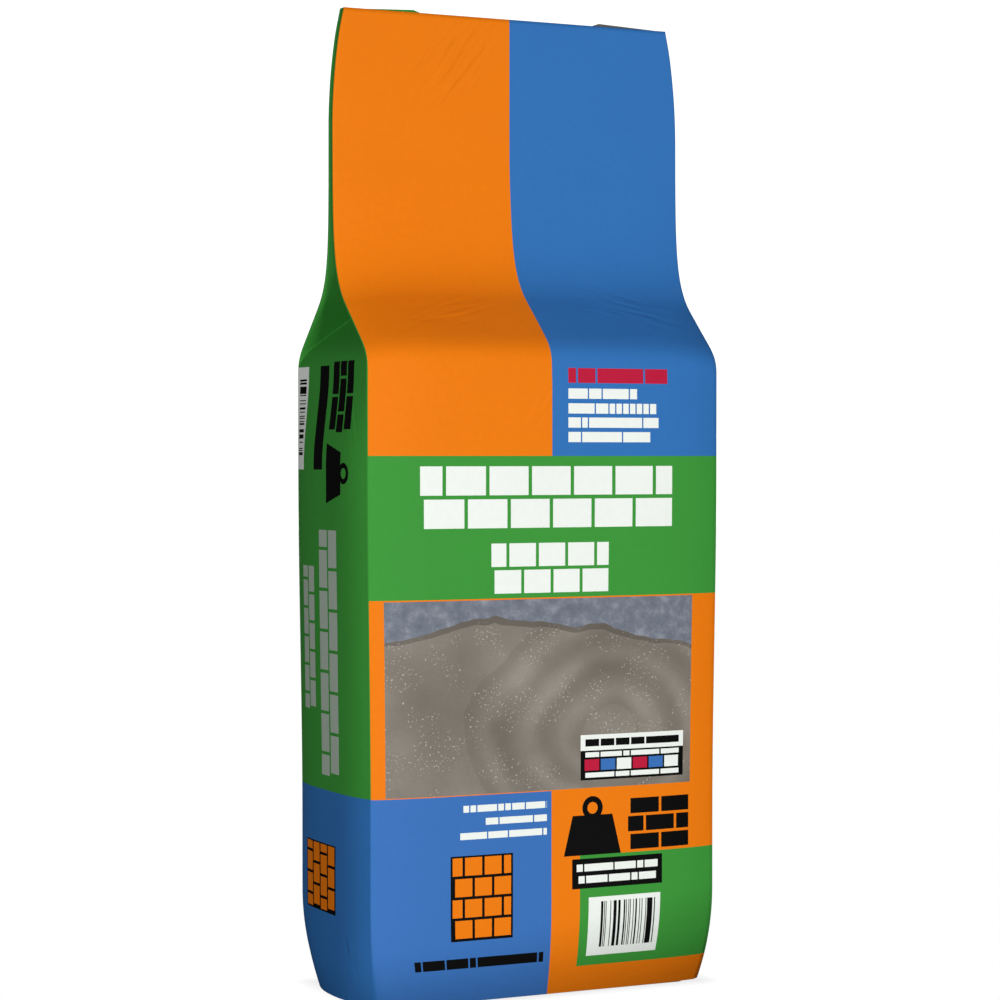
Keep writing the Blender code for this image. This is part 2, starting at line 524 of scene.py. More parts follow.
    def mouth_rise(self, height: float, along: float) -> float:
        """How far the cut edge of the gusset plies stands above the panels' edge.

        Args:
            height: The height.
            along: The place along the paper.

        Returns:
            How far up the paper there moves.
        """
        if -self.depth < along < -self.depth / 2 - self.crease_half:
            part = (along + self.depth) / (self.depth / 2)
        elif self.width < along < self.width + self.depth / 2 - self.crease_half:
            part = (along - self.width) / (self.depth / 2)
        else:
            part = 0.0
        run = eased(height, self.height - self.ply_run, self.height)
        return (self.ply_rise * part - self.cut_low) * run

    def pressed_in(self, station: Station, height: float) -> float:
        """How far the slight waviness of full paper takes the surface in.

        Args:
            station: The point in its cross-section.
            height: V of the cross-section.

        Returns:
            How far in.
        """
        across, up = self.waves_across, self.waves_up
        place = Vector((station.x * across, station.y * across, height * up))
        return self.waviness * noise.noise(place)

    def side_of(self, along: float) -> Side:
        """The panel that a point of the paper belongs to.

        Args:
            along: The point's place along the paper.

        Returns:
            The panel.
        """
        if 0.0 <= along <= self.width:
            return Side.FRONT
        if -self.depth < along < 0.0:
            return Side.LEFT
        if self.width < along < self.width + self.depth:
            return Side.RIGHT
        return Side.BACK

    def settle(self, station: Station, height: float, paper: float) -> Vector:
        """The final place of a point, with the slight waviness of full paper.

        Args:
            station: The point in its cross-section.
            height: The height of the cross-section.
            paper: V of the cross-section.

        Returns:
            The point.
        """
        side = self.side_of(station.along)
        depth = self.pressed_in(station, paper)
        x, y = station.x, station.y
        if side is Side.FRONT:
            edge = eased(min(station.along, self.width - station.along), 0.0, self.still_edge)
            by_mouth = eased(height, self.height - self.still_edge, self.height)
            y += depth * edge * (1.0 - self.still_mouth * by_mouth)
        elif side is Side.BACK:
            closed = eased(height, self.shoulder, self.shoulder + self.still_back)
            y -= depth * (1.0 - self.still_neck * closed)
        else:
            full = eased(self.shoulder - height, 0.0, self.still_shoulder)
            inner = -station.along if side is Side.LEFT else station.along - self.width
            edge = eased(min(inner, self.depth - inner), 0.0, self.still_edge)
            x += depth * full * edge * (1.0 if side is Side.LEFT else -1.0)
        return Vector((x, y, height + self.mouth_rise(height, station.along)))


# Meshes


def finished_piece(
    name: str, mesh: bmesh.types.BMesh, finishes: list[bpy.types.Material]
) -> bpy.types.Object:
    """Turn a bmesh into a smooth object that rides on the bag.

    Args:
        name: The piece's name.
        mesh: The bmesh, which is freed.
        finishes: Its materials.

    Returns:
        The object.
    """
    for face in mesh.faces:
        face.smooth = True
    data = bpy.data.meshes.new(name)
    mesh.to_mesh(data)
    mesh.free()
    for finish in finishes:
        data.materials.append(finish)
    piece = bpy.data.objects.new(name, data)
    bpy.context.scene.collection.objects.link(piece)
    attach(piece, "root")
    return piece


def paper_wall(piece: bpy.types.Object, thickness: float, inner: int, outward: bool) -> None:
    """Give a sheet its wall.

    Args:
        piece: The sheet.
        thickness: The wall's thickness.
        inner: How many slots further on the inside's material is.
        outward: Whether the wall grows out of the sheet or into it.
    """
    wall = piece.modifiers.new("wall", "SOLIDIFY")
    wall.thickness = thickness
    wall.offset = 1.0 if outward else -1.0
    wall.use_even_offset = False
    wall.material_offset = inner
    wall.material_offset_rim = inner


# Shader maths


class Wire:
    """One value of a material. Python arithmetic on it adds Math nodes."""

    def __init__(self, sheet: "NodeSheet", socket: bpy.types.NodeSocket) -> None:
        """Wrap a socket of a node sheet."""
        self.sheet = sheet
        self.socket = socket

    def math(self, operation: str, *feeds: "Feed") -> "Wire":
        """Add a Math node with these inputs."""
        return self.sheet.node("ShaderNodeMath", {"operation": operation}, dict(enumerate(feeds)))

    def __add__(self, other: "Feed") -> "Wire":
        """Sum."""
        return self.math("ADD", self, other)

    def __radd__(self, other: "Feed") -> "Wire":
        """Sum, from the right."""
        return self.math("ADD", other, self)

    def __sub__(self, other: "Feed") -> "Wire":
        """Difference."""
        return self.math("SUBTRACT", self, other)

    def __rsub__(self, other: "Feed") -> "Wire":
        """Difference, from the right."""
        return self.math("SUBTRACT", other, self)

    def __mul__(self, other: "Feed") -> "Wire":
        """Product."""
        return self.math("MULTIPLY", self, other)

    def __rmul__(self, other: "Feed") -> "Wire":
        """Product, from the right."""
        return self.math("MULTIPLY", other, self)

    def __truediv__(self, other: "Feed") -> "Wire":
        """Quotient."""
        return self.math("DIVIDE", self, other)

    def __lt__(self, other: "Feed") -> "Wire":
        """1 where it is less."""
        return self.math("LESS_THAN", self, other)

    def __gt__(self, other: "Feed") -> "Wire":
        """1 where it is more."""
        return self.math("GREATER_THAN", self, other)

    def __abs__(self) -> "Wire":
        """Its size without its sign."""
        return self.math("ABSOLUTE", self)

    def either(self, other: "Feed") -> "Wire":
        """The larger of two, which joins two masks."""
        return self.math("MAXIMUM", self, other)

    def wrapped(self) -> "Wire":
        """Its part after the decimal point."""
        return self.math("FRACT", self)

    def floored(self) -> "Wire":
        """The whole number below it."""
        return self.math("FLOOR", self)

    def wave(self) -> "Wire":
        """Its sine."""
        return self.math("SINE", self)

    def root(self) -> "Wire":
        """Its square root."""
        return self.math("SQRT", self)


Colour = tuple[float, ...]
Stops = list[tuple[float, Colour]]
Feed = Wire | float | Colour


def joined(*masks: Wire) -> Wire:
    """One mask that is 1 where any of these is."""
    return reduce(Wire.either, masks)


class NodeSheet:
    """The node tree of one material."""

    def __init__(self, name: str) -> None:
        """Start an empty material.

        Args:
            name: The material's name.
        """
        self.material = bpy.data.materials.new(name)
        self.material.use_nodes = True
        self.tree = self.material.node_tree
        self.tree.nodes.clear()

    def node(
        self,
        kind: str,
        settings: dict[str, object] | None = None,
        sockets: dict[int | str, Feed] | None = None,
        output: int | str = 0,
    ) -> Wire:
        """Add a node.

        Args:
            kind: The node's type.
            settings: Its settings; "stops" holds a ramp's (position, colour) pairs.
            sockets: The values or links of its inputs.
            output: The output that is wanted.

        Returns:
            That output.
        """
        made = self.tree.nodes.new(kind)
        for name, value in (settings or {}).items():
            if name == "stops":
                self.set_stops(made.color_ramp, value)
            else:
                setattr(made, name, value)
        for key, feed in (sockets or {}).items():
            if isinstance(feed, Wire):
                self.tree.links.new(feed.socket, made.inputs[key])
            else:
                made.inputs[key].default_value = feed
        return Wire(self, made.outputs[output])

    def set_stops(self, ramp: bpy.types.ColorRamp, stops: Stops) -> None:
        """Give a ramp its stops.

        Args:
            ramp: The ramp, which has two stops.
            stops: The positions and colours.
        """
        for position, _ in stops[1:-1]:
            ramp.elements.new(position)
        for element, (position, colour) in zip(ramp.elements, stops, strict=True):
            element.position = position
            element.color = colour

    def also(self, wire: Wire, output: int | str) -> Wire:
        """Another output of a node that was made before."""
        return Wire(self, wire.socket.node.outputs[output])

    def layered(self, mask: Feed, below: Feed, above: Feed) -> Wire:
        """A colour with another laid over it where the mask is 1."""
        return self.node("ShaderNodeMix", {"data_type": "RGBA"}, {0: mask, 6: below, 7: above}, 2)

    def bump(
        self, height: Wire, distance: float, strength: float = 1.0, normal: Wire | None = None
    ) -> Wire:
        """A normal from a height.

        Args:
            height: The height, in steps of the distance.
            distance: How deep a height of 1 is.
            strength: How strongly it shows.
            normal: The normal that it is laid on, if that isn't the mesh's own.

        Returns:
            The normal.
        """
        sockets: dict[int | str, Feed] = {"Height": height, "Distance": distance}
        sockets["Strength"] = strength
        if normal is not None:
            sockets["Normal"] = normal
        return self.node("ShaderNodeBump", None, sockets)

    def noise(self, place: Wire, scale: float, detail: float = 2.0, roughness: float = 0.5) -> Wire:
        """Soft noise between 0 and 1 at a place."""
        sockets = {"Vector": place, "Scale": scale, "Detail": detail, "Roughness": roughness}
        return self.node("ShaderNodeTexNoise", None, sockets, "Fac")

    def chance(self, cell: Wire) -> Wire:
        """A steady random number between 0 and 1 for each whole number."""
        settings = {"noise_dimensions": "1D"}
        return self.node("ShaderNodeTexWhiteNoise", settings, {"W": cell}, "Value")

    def shader(self, sockets: dict[int | str, Feed]) -> bpy.types.Material:
        """Finish the material with one Principled surface.

        Args:
            sockets: The values or links of the surface.

        Returns:
            The material.
        """
        surface = self.node("ShaderNodeBsdfPrincipled", None, sockets)
        out = self.tree.nodes.new("ShaderNodeOutputMaterial")
        self.tree.links.new(surface.socket, out.inputs["Surface"])
        return self.material


def ink(red: int, green: int, blue: int) -> Colour:
    """A colour as it is seen, turned into the surface's own colour.

    Args:
        red: Red as seen, 0 to 255.
        green: Green as seen.
        blue: Blue as seen.

    Returns:
        A linear colour.
    """
    channels = []
    for value in (red, green, blue):
        seen = value / 255.0
        linear = seen / 12.92 if seen <= 0.04045 else ((seen + 0.055) / 1.055) ** 2.4
        channels.append(min(linear, BRIGHTEST))
    return (*channels, 1.0)


# Finishes


@dataclass(frozen=True)
class Patch:
    """A rectangle on the paper, by its left, right, lower and upper edges."""

    left: float
    right: float
    low: float
    high: float


@dataclass(frozen=True)
class Courses:
    """Brick courses: their place, how many there are, a brick with its joint, and the joint."""

    patch: Patch
    rows: int
    brick: float
    joint: float


@dataclass(frozen=True)
class Row:
    """A row of dashes: its place, and the shortest dash with its gap."""

    patch: Patch
    cell: float = 0.0050


class PrintInk(Enum):
    """The colours of the print."""

    ORANGE = ink(239, 125, 16)
    UPPER_BLUE = ink(52, 115, 184)
    LOWER_BLUE = ink(60, 114, 185)
    GREEN = ink(62, 150, 59)
    WHITE = ink(241, 246, 240)
    BLACK = ink(9, 9, 9)
    RED = ink(190, 30, 62)
    GREY = ink(176, 190, 176)
    TEXT_GREY = ink(92, 98, 100)


@dataclass(frozen=True)
class FrontPrint:
    """The marks of the front panel, by their places from its left edge and up the paper."""

    white_courses: tuple[Courses, ...] = (
        Courses(Patch(0.0296, 0.1890, 0.2642, 0.3010), 2, 0.0266, 0.0022),
        Courses(Patch(0.0728, 0.1473, 0.2278, 0.2578), 2, 0.0186, 0.0019),
    )
    white_rows: tuple[Row, ...] = (
        Row(Patch(0.1213, 0.1655, 0.3392, 0.3450), 0.0044),
        Row(Patch(0.1213, 0.1782, 0.3308, 0.3366), 0.0044),
        Row(Patch(0.1213, 0.1797, 0.3228, 0.3286), 0.0044),
        Row(Patch(0.1213, 0.1742, 0.3146, 0.3204), 0.0044),
        Row(Patch(0.0550, 0.1080, 0.1080, 0.1118), 0.0044),
        Row(Patch(0.0690, 0.1080, 0.1005, 0.1043), 0.0044),
        Row(Patch(0.0530, 0.1080, 0.0928, 0.0966), 0.0044),
    )
    red_row: Row = Row(Patch(0.1213, 0.1857, 0.3482, 0.3566), 0.0062)
    badge: Patch = Patch(0.1299, 0.1985, 0.1222, 0.1480)
    badge_strip: Patch = Patch(0.1299, 0.1985, 0.1390, 0.1480)
    badge_black_row: Row = Row(Patch(0.1330, 0.1955, 0.1414, 0.1455))
    badge_white_rows: tuple[Row, ...] = (
        Row(Patch(0.1330, 0.1955, 0.1352, 0.1380)),
        Row(Patch(0.1330, 0.1955, 0.1236, 0.1264)),
    )
    chips: Patch = Patch(0.1325, 0.1961, 0.1276, 0.1340)
    chip: float = 0.0106
    chip_share: float = 0.9
    chip_inks: tuple[tuple[float, PrintInk], ...] = (
        (-0.1, PrintInk.RED),
        (0.2, PrintInk.LOWER_BLUE),
        (0.5, PrintInk.WHITE),
    )
    iron_weight: Patch = Patch(0.1190, 0.1565, 0.0795, 0.1130)
    black_courses: Courses = Courses(Patch(0.1612, 0.2027, 0.0795, 0.1105), 3, 0.0208, 0.0016)
    note: Patch = Patch(0.1244, 0.1842, 0.0605, 0.0775)
    note_rows: tuple[Row, ...] = (
        Row(Patch(0.1274, 0.1812, 0.0702, 0.0744)),
        Row(Patch(0.1286, 0.1800, 0.0635, 0.0677)),
    )
    emblem: Patch = Patch(0.0470, 0.0862, 0.0360, 0.0838)
    emblem_wall: Courses = Courses(Patch(0.0482, 0.0850, 0.0360, 0.0828), 4, 0.0123, 0.0016)
    black_row: Row = Row(Patch(0.0235, 0.1065, 0.0205, 0.0262))
    label: Patch = Patch(0.1353, 0.1830, 0.0215, 0.0552)
    code: Patch = Patch(0.1424, 0.1795, 0.0262, 0.0525)
    code_bar: float = 0.00052


@dataclass(frozen=True)
class SidePrint:
    """The marks of a gusset. Those that run up the bag have their height first."""

    iron_weight: Patch = Patch(0.2800, 0.3140, -0.0490, -0.0190)
    black_courses: Courses = Courses(Patch(0.3200, 0.3600, 0.0170, 0.0480), 3, 0.0200, 0.0016)
    strip: Patch = Patch(0.0545, 0.0675, 0.2990, 0.3580)
    emblem: Patch = Patch(0.0400, 0.0860, 0.0480, 0.0870)
    emblem_wall: Courses = Courses(Patch(0.0490, 0.0862, 0.0400, 0.0848), 4, 0.0124, 0.0016)
    grey_courses: tuple[Courses, ...] = (
        Courses(Patch(0.1260, 0.2650, 0.0330, 0.0600), 2, 0.0232, 0.0018),
        Courses(Patch(0.1620, 0.2440, 0.0665, 0.0875), 2, 0.0164, 0.0016),
    )
    label: Patch = Patch(0.0850, 0.1015, 0.2990, 0.3580)
    code: Patch = Patch(0.3060, 0.3510, 0.0880, 0.0985)
    code_bar: float = 0.00060


@dataclass(frozen=True)
class BackPrint:
    """The marks of the back panel: a white panel with rows of grey dashes, and brick courses."""

    panel: Patch = Patch(0.020, 0.202, 0.121, 0.221)
    text: Patch = Patch(0.028, 0.194, 0.1285, 0.2110)
    line: float = 0.0075
    line_low: float = 0.30
    line_high: float = 0.62
    line_seed: float = 31.0
    word: float = 0.0060
    word_share: float = 0.78
    word_joins: float = 0.45
    courses: Courses = Courses(Patch(0.0335, 0.1885, 0.2480, 0.2820), 2, 0.0259, 0.0022)


@dataclass(frozen=True)
class PaperPanel:
    """A panel of the paper, as a place along it and a place up it, with masks for its marks."""

    sheet: NodeSheet
    along: Wire
    height: Wire
    dash_share: float = 0.80
    dash_joins: float = 0.55
    seed_scale: int = 9000
    seeds: int = 97
    bar_seed: float = 11.0
    bar_gaps: float = 0.46
    weight_taper: float = 0.45
    weight_top: float = 0.68
    ring_middle: float = 0.80
    ring_outer: float = 0.20
    ring_inner: float = 0.10
    ring_low: float = 0.66

    def turned(self) -> "PaperPanel":
        """The same panel with its marks running up it."""
        return PaperPanel(self.sheet, self.height, self.along)

    def inked(self, mask: Wire, below: Feed, colour: PrintInk) -> Wire:
        """A colour with an ink laid over it where the mask is 1."""
        return self.sheet.layered(mask, below, colour.value)

    def inside(self, patch: Patch) -> Wire:
        """A mask that is 1 inside a patch.

        Args:
            patch: The patch.

        Returns:
            The mask.
        """
        wide = abs(self.along - (patch.left + patch.right) / 2) < (patch.right - patch.left) / 2
        tall = abs(self.height - (patch.low + patch.high) / 2) < (patch.high - patch.low) / 2
        return wide * tall

    def bricks(self, courses: Courses) -> Wire:
        """A mask of brick courses in running bond.

        Args:
            courses: The courses.

        Returns:
            The mask.
        """
        patch = courses.patch
        course = (patch.high - patch.low) / courses.rows
        climbed = (self.height - patch.low) / course
        shifted = (climbed.floored() * 0.5).wrapped() * courses.brick
        bed = climbed.wrapped() > courses.joint / course
        ahead = (self.along - patch.left + shifted) / courses.brick
        return self.inside(patch) * bed * (ahead.wrapped() > courses.joint / courses.brick)

    def dashes(self, row: Row) -> Wire:
        """A mask of a row of dashes of uneven length.

        Args:
            row: The row.

        Returns:
            The mask.
        """
        place = (self.along - row.patch.left) / row.cell
        seed = round(row.patch.low * self.seed_scale) % self.seeds
        cut = self.sheet.chance(place.floored() + float(seed)) > self.dash_joins
        gap = (place.wrapped() > self.dash_share) * cut
        return self.inside(row.patch) * (1.0 - gap)

    def bars(self, patch: Patch, bar: float) -> Wire:
        """A mask of upright bars of uneven width."""
        cell = ((self.along - patch.left) / bar).floored()
        return self.inside(patch) * (self.sheet.chance(cell + self.bar_seed) > self.bar_gaps)

    def iron_weight(self, patch: Patch) -> Wire:
        """A mask of a plain iron weight with a ring.

        Args:
            patch: The place of the weight.

        Returns:
            The mask.
        """
        tall = patch.high - patch.low
        half = (patch.right - patch.left) / 2
        climbed = (self.height - patch.low) / tall
        dx = self.along - (patch.left + patch.right) / 2
        flank = half - climbed * half * self.weight_taper
        body = (abs(dx) < flank) * (climbed > 0.0) * (climbed < self.weight_top)
        dz = self.height - (patch.low + tall * self.ring_middle)
        distance = (dx * dx + dz * dz).root()
        ring = (distance < tall * self.ring_outer) * (distance > tall * self.ring_inner)
        return body.either(ring * (climbed > self.ring_low))


@dataclass(frozen=True)
class MortarPicture:
    """A picture of trowelled mortar in front of rough stone, in greys."""

    patch: Patch = Patch(0.0083, 0.2037, 0.1178, 0.2262)
    sweep_u: float = 0.150
    sweep_v: float = 0.150
    sweep_flatness: float = 1.3
    sweep_step: float = 0.024
    sweep_inner: float = 0.020
    sweep_outer: float = 0.092
    unevenness: float = 0.030
    crest_u: float = 0.075
    crest_fall: float = 0.14
    crest_shade: float = 0.2135
    crest: float = 0.2165
    crest_strength: float = 0.45
    cloud_scale: float = 15.0
    cloud_contrast: float = 0.75
    grain_scale: float = 430.0
    grain_contrast: float = 0.12
    sweep_contrast: float = 0.07
    speck_scale: float = 760.0
    speck_least: float = 0.66
    speck_field: float = 45.0
    speck_strength: float = 0.45
    stone_scale: float = 130.0
    stone_contrast: float = 1.2
    mortar_greys: tuple[Colour, ...] = (ink(78, 73, 66), ink(129, 122, 112), ink(178, 171, 161))
    stone_greys: tuple[Colour, ...] = (ink(76, 82, 96), ink(116, 122, 134), ink(172, 176, 184))
    speck: Colour = ink(214, 212, 206)
    shade: Colour = ink(60, 56, 52)

    def toned(self, sheet: NodeSheet, greys: tuple[Colour, ...], tone: Wire) -> Wire:
        """A grey from dark to light by its tone."""
        stops = [(0.0, greys[0]), (0.5, greys[1]), (1.0, greys[2])]
        return sheet.node("ShaderNodeValToRGB", {"stops": stops}, {"Fac": tone})

    def painted(self, sheet: NodeSheet, paper: Wire, along: Wire, height: Wire) -> Wire:
        """The picture.

        Args:
            sheet: The node sheet.
            paper: The place on the paper.
            along: U.
            height: V.

        Returns:
            The colour.
        """
        cloud = sheet.noise(paper, self.cloud_scale, 3.0)
        uneven = (cloud - 0.5) * self.unevenness
        grain = sheet.noise(paper, self.grain_scale, 4.0, 0.7)
        dx = along - self.sweep_u
        dz = (height - self.sweep_v) * self.sweep_flatness
        arc = (dx * dx + dz * dz).root() + uneven
        swept = (arc * (TAU / self.sweep_step)).wave()
        swept = swept * (arc > self.sweep_inner) * (arc < self.sweep_outer)
        tone = 0.5 + (cloud - 0.5) * self.cloud_contrast + (grain - 0.5) * self.grain_contrast
        mortar = self.toned(sheet, self.mortar_greys, tone + swept * self.sweep_contrast)
        specks = sheet.noise(paper, self.speck_scale, 1.0) > self.speck_least
        specks = specks * (sheet.noise(paper, self.speck_field) > 0.5)
        mortar = sheet.layered(specks * self.speck_strength, mortar, self.speck)
        coarse = sheet.noise(paper, self.stone_scale, 5.0, 0.7)
        stone = self.toned(sheet, self.stone_greys, 0.5 + (coarse - 0.5) * self.stone_contrast)
        climbed = height + uneven + abs(along - self.crest_u) * self.crest_fall
        shaded = (climbed > self.crest_shade) * self.crest_strength
        mortar = sheet.layered(shaded, mortar, self.shade)
        return sheet.layered(climbed > self.crest, mortar, stone)


@dataclass(frozen=True)
class CreaseFan:
    """A fan of fine creases: its middle, its turn, half its reach both ways, and its strength."""

    u: float
    v: float
    turn: float
    half_across: float
    half_along: float
    strength: float
    fineness: float = 240.0
    stretch: float = 0.16
    apart: float = 40.0

    def raised(self, sheet: NodeSheet, along: Wire, height: Wire) -> Wire:
        """The height of the creases.

        Args:
            sheet: The node sheet.
            along: U.
            height: V.

        Returns:
            The height, 0 outside the fan.
        """
        aside, ahead = math.cos(self.turn), math.sin(self.turn)
        dx, dz = along - self.u, height - self.v
        across = dx * ahead - dz * aside
        down = dx * aside + dz * ahead
        place = {0: across, 1: down * self.stretch, 2: self.u * self.apart}
        ripple = sheet.noise(sheet.node("ShaderNodeCombineXYZ", None, place), self.fineness, 1.0)
        wide, long = across / self.half_across, down / self.half_along
        return (1.0 - (wide * wide + long * long)).either(0.0) * (ripple - 0.5) * self.strength


@dataclass(frozen=True)
class PrintedPaper:
    """Printed sack paper: flat ink fields, plain marks and a picture of trowelled mortar."""

    shape: SackShape
    picture: MortarPicture = MortarPicture()
    front: FrontPrint = FrontPrint()
    side: SidePrint = SidePrint()
    back: BackPrint = BackPrint()
    side_split: float = 0.1175
    roughness: float = 0.58
    gloss: float = 0.05
    crease_depth: float = 0.0016
    mottle_scale: float = 260.0
    mottle_dark: float = 0.07
    mottle_rough: float = 0.10
    cloud_scale: float = 22.0
    cloud_dark: float = 0.05
    cloud_rough: float = 0.06
    pressed_scale: float = 70.0
    pressed_depth: float = 0.00035
    pressed_strength: float = 0.35
    fibre_scale: float = 900.0
    fibre_depth: float = 0.00012
    fibre_strength: float = 0.30
    fields: tuple[tuple[PrintInk, Patch], ...] = (
        (PrintInk.ORANGE, Patch(0.0, 0.111, 0.3068, 0.700)),
        (PrintInk.UPPER_BLUE, Patch(0.111, 0.222, 0.3068, 0.700)),
        (PrintInk.ORANGE, Patch(0.0, 0.222, 0.1173, 0.2270)),
        (PrintInk.LOWER_BLUE, Patch(0.0, 0.111, -0.01, 0.1173)),
        (PrintInk.ORANGE, Patch(0.111, 0.222, -0.01, 0.1173)),
        (PrintInk.GREEN, Patch(0.1295, 0.222, 0.016, 0.0795)),
    )
    fans: tuple[CreaseFan, ...] = (
        CreaseFan(0.074, 0.551, 0.90, 0.021, 0.042, 1.0),
        CreaseFan(0.060, 0.400, 0.35, 0.016, 0.040, 0.5),
        CreaseFan(0.175, 0.405, 2.80, 0.018, 0.040, 0.5),
        CreaseFan(0.104, 0.335, 0.90, 0.006, 0.022, 0.6),
        CreaseFan(-0.022, 0.026, 1.90, 0.006, 0.018, 0.5),
        CreaseFan(-0.020, 0.330, 1.90, 0.008, 0.024, 0.6),
    )

    def build(self) -> bpy.types.Material:
        """Make the material.

        Returns:
            The material.
        """
        sheet = NodeSheet("printed_paper")
        paper = sheet.node("ShaderNodeUVMap", {"uv_map": "paper"})
        across = sheet.node("ShaderNodeSeparateXYZ", None, {0: paper}, 0)
        height = sheet.also(across, 1)
        along = across - PAPER_SHIFT
        round_bag = 2 * (self.shape.width + self.shape.depth)
        rear = ((along - round_bag / 2) / round_bag).wrapped() * round_bag
        left = 0.0 - along
        right = along - self.shape.width
        on_left = (left > 0.0) * (left < self.shape.depth)
        on_right = (right > 0.0) * (right < self.shape.depth)
        front_panel = PaperPanel(sheet, along, height)
        back_panel = PaperPanel(sheet, rear, height)
        on_front = front_panel.inside(Patch(0.0, self.shape.width, -1.0, 1.0))
        on_back = (rear < self.shape.width) * (1.0 - on_front)

        picture = self.picture.painted(sheet, paper, along, height)
        pictured = front_panel.inside(self.picture.patch)
        front = sheet.layered(pictured, self.fields_on(front_panel), picture)
        front = self.front_marks(front_panel, front)
        back = self.back_marks(back_panel, self.fields_on(back_panel))
        side_panel = PaperPanel(sheet, on_left * left + on_right * right, height)
        low = height < self.side_split
        sides = side_panel.inked(low, PrintInk.GREEN.value, PrintInk.UPPER_BLUE)
        sides = self.side_marks(side_panel, sides)

        colour = sheet.layered(on_front, sides, front)
        colour = sheet.layered(on_back, colour, back)
        raised = [fan.raised(sheet, along, height) for fan in self.fans]
        creased = sheet.bump(reduce(Wire.__add__, raised), self.crease_depth)
        return self.surface(sheet, paper, colour, creased)

    def surface(self, sheet: NodeSheet, paper: Wire, colour: Wire, creased: Wire) -> bpy.types.Material:
        """Lay the paper's own texture under the print.

        Args:
            sheet: The node sheet.
            paper: The place on the paper.
            colour: The print.
            creased: The normal of the fine creases.

        Returns:
            The material.
        """
        mottle = sheet.noise(paper, self.mottle_scale, 3.0)
        cloud = sheet.noise(paper, self.cloud_scale)
        dark = mottle * self.mottle_dark + cloud * self.cloud_dark
        rough = self.roughness + (mottle - 0.5) * self.mottle_rough + (cloud - 0.5) * self.cloud_rough
        fibre = sheet.noise(paper, self.fibre_scale, 4.0, 0.6)
        pressed = sheet.noise(paper, self.pressed_scale, 2.0, 0.4)
        normal = sheet.bump(pressed, self.pressed_depth, self.pressed_strength, creased)
        sockets = {
            "Base Color": sheet.layered(dark, colour, PrintInk.BLACK.value),
            "Roughness": rough,
            "Specular IOR Level": self.gloss,
            "Normal": sheet.bump(fibre, self.fibre_depth, self.fibre_strength, normal),
        }
        return sheet.shader(sockets)

    def fields_on(self, panel: PaperPanel) -> Wire:
        """The flat ink fields of a wide panel, on a green ground.

        Args:
            panel: The panel.

        Returns:
            The colour.
        """
        colour: Feed = PrintInk.GREEN.value
        for flat_ink, patch in self.fields:
            colour = panel.inked(panel.inside(patch), colour, flat_ink)
        return colour

    def front_marks(self, panel: PaperPanel, colour: Wire) -> Wire:
        """The marks on the front panel.

        Args:
            panel: The front panel.
            colour: The ink fields and the picture.

        Returns:
            The colour with the marks.
        """
        marks = self.front
        white = joined(
            *(panel.bricks(courses) for courses in marks.white_courses),
            *(panel.dashes(row) for row in marks.white_rows),
        )
        colour = panel.inked(white, colour, PrintInk.WHITE)
        colour = panel.inked(panel.dashes(marks.red_row), colour, PrintInk.RED)

        colour = panel.inked(panel.inside(marks.badge), colour, PrintInk.BLACK)
        colour = panel.inked(panel.inside(marks.badge_strip), colour, PrintInk.WHITE)
        colour = panel.inked(panel.dashes(marks.badge_black_row), colour, PrintInk.BLACK)
        rows = joined(*(panel.dashes(row) for row in marks.badge_white_rows))
        colour = panel.inked(rows, colour, PrintInk.WHITE)
        cell = (panel.along - marks.chips.left) / marks.chip
        chips = panel.inside(marks.chips) * (cell.wrapped() < marks.chip_share)
        turn = (cell.floored() / float(len(marks.chip_inks))).wrapped()
        for least, chip_ink in marks.chip_inks:
            colour = panel.inked(chips * (turn > least), colour, chip_ink)

        black = joined(
            panel.iron_weight(marks.iron_weight),
            panel.bricks(marks.black_courses),
            panel.inside(marks.note),
            panel.inside(marks.emblem),
            panel.dashes(marks.black_row),
        )
        colour = panel.inked(black, colour, PrintInk.BLACK)
        colour = panel.inked(panel.bricks(marks.emblem_wall), colour, PrintInk.ORANGE)
        notes = joined(*(panel.dashes(row) for row in marks.note_rows))
        colour = panel.inked(notes, colour, PrintInk.WHITE)
        colour = panel.inked(panel.inside(marks.label), colour, PrintInk.WHITE)
        return panel.inked(panel.bars(marks.code, marks.code_bar), colour, PrintInk.BLACK)

    def side_marks(self, panel: PaperPanel, colour: Wire) -> Wire:
        """The marks on a gusset.

        Args:
            panel: The gusset, with along counted from its front edge.
            colour: The ink fields.

        Returns:
            The colour with the marks.
        """
        marks = self.side
        upward = panel.turned()
        mirrored = PaperPanel(panel.sheet, panel.height, 0.0 - panel.along)
        black = joined(
            mirrored.iron_weight(marks.iron_weight),
            upward.bricks(marks.black_courses),
            panel.inside(marks.strip),
            panel.inside(marks.emblem),
        )
        colour = panel.inked(black, colour, PrintInk.BLACK)
        colour = panel.inked(upward.bricks(marks.emblem_wall), colour, PrintInk.ORANGE)
        grey = joined(*(upward.bricks(courses) for courses in marks.grey_courses))
        colour = panel.inked(grey, colour, PrintInk.GREY)
        colour = panel.inked(panel.inside(marks.label), colour, PrintInk.WHITE)
        return panel.inked(upward.bars(marks.code, marks.code_bar), colour, PrintInk.BLACK)

